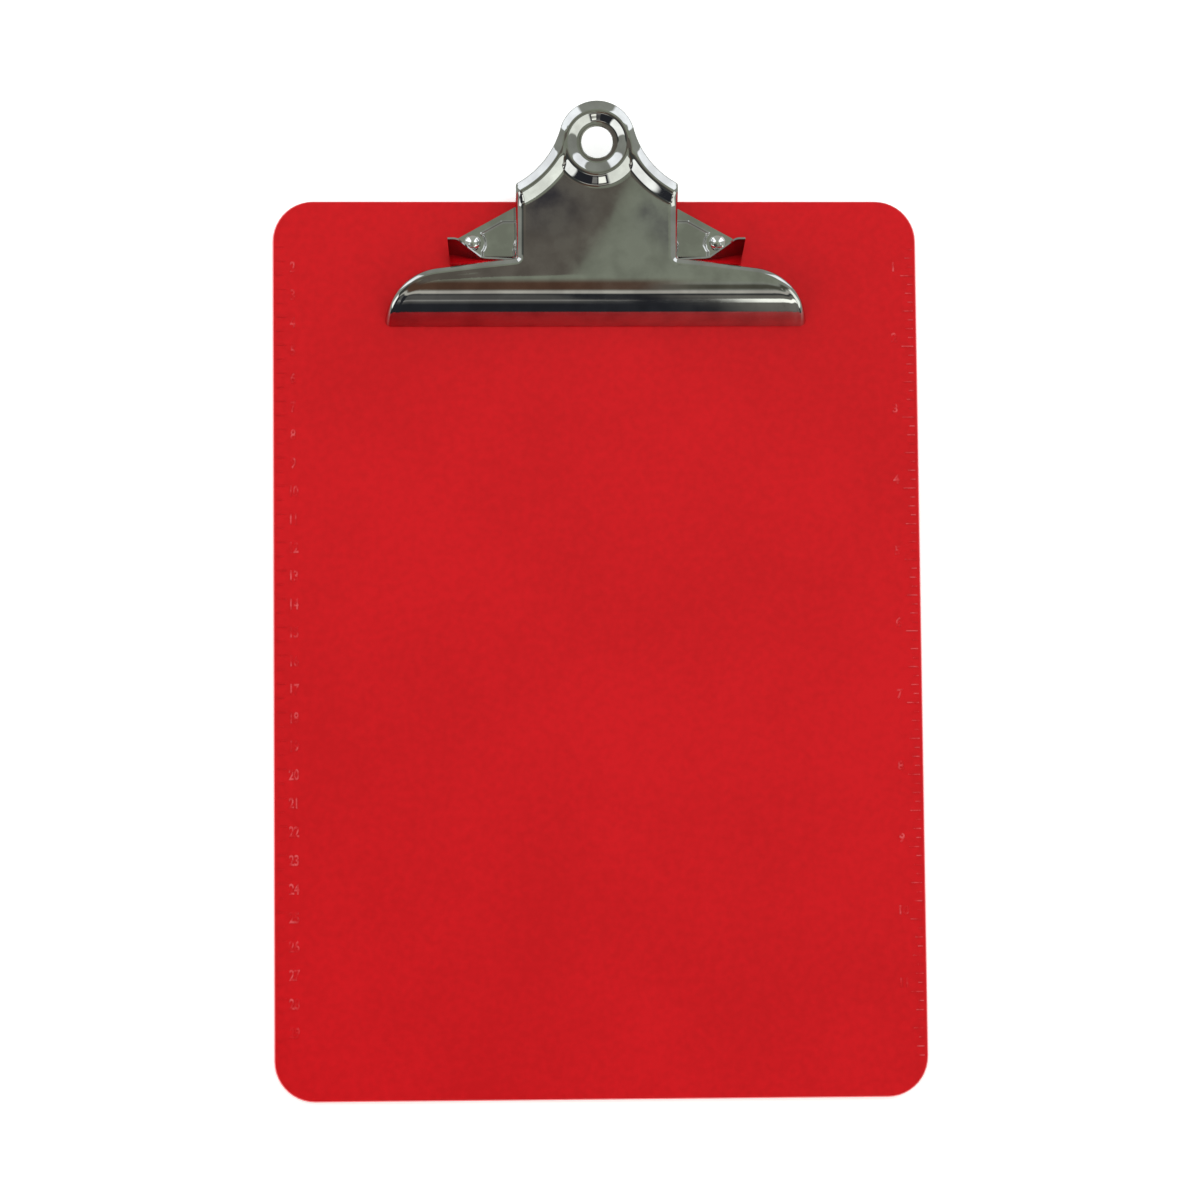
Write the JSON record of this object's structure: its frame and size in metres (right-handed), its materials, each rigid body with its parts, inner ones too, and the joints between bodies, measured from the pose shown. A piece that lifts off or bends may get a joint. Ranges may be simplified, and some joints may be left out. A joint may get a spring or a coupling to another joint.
{
  "type": "clipboard",
  "caption": "Letter-size plastic clipboard with rulers along its edges and a sprung pressed-steel clip whose lever ends in a hanging ring.",
  "frame": {"origin": "middle of the board's flat back face", "axes": "+Z out of the board's writing face, +Y along the board towards the clip, +X to the reader's right"},
  "size_m": [0.2286, 0.3493, 0.0268],
  "materials": {
    "board_plastic": "fine satin moulded texture",
    "plated_steel": "polished nickel plate",
    "spring_wire": "drawn wire",
    "rivet_steel": "polished nickel plate"
  },
  "bodies": {
    "back": {"board": "board_plastic", "base_plate": "plated_steel", "rivet_left": "rivet_steel", "rivet_right": "rivet_steel", "washer_left": "rivet_steel", "washer_right": "rivet_steel"},
    "clip": {"lever": "plated_steel", "hinge_pin": "plated_steel", "torsion_spring": "spring_wire"}
  },
  "joints": [
    {"name": "lever_hinge", "type": "hinge", "parent": "back", "child": "clip", "pos_m": [0, 0.141, 0.0103], "axis": [-1, 0, 0], "range_deg": [0, 25], "stiffness_Nm_per_rad": 0.3, "springref_deg": -51.57, "deforming": ["torsion_spring"]}
  ]
}
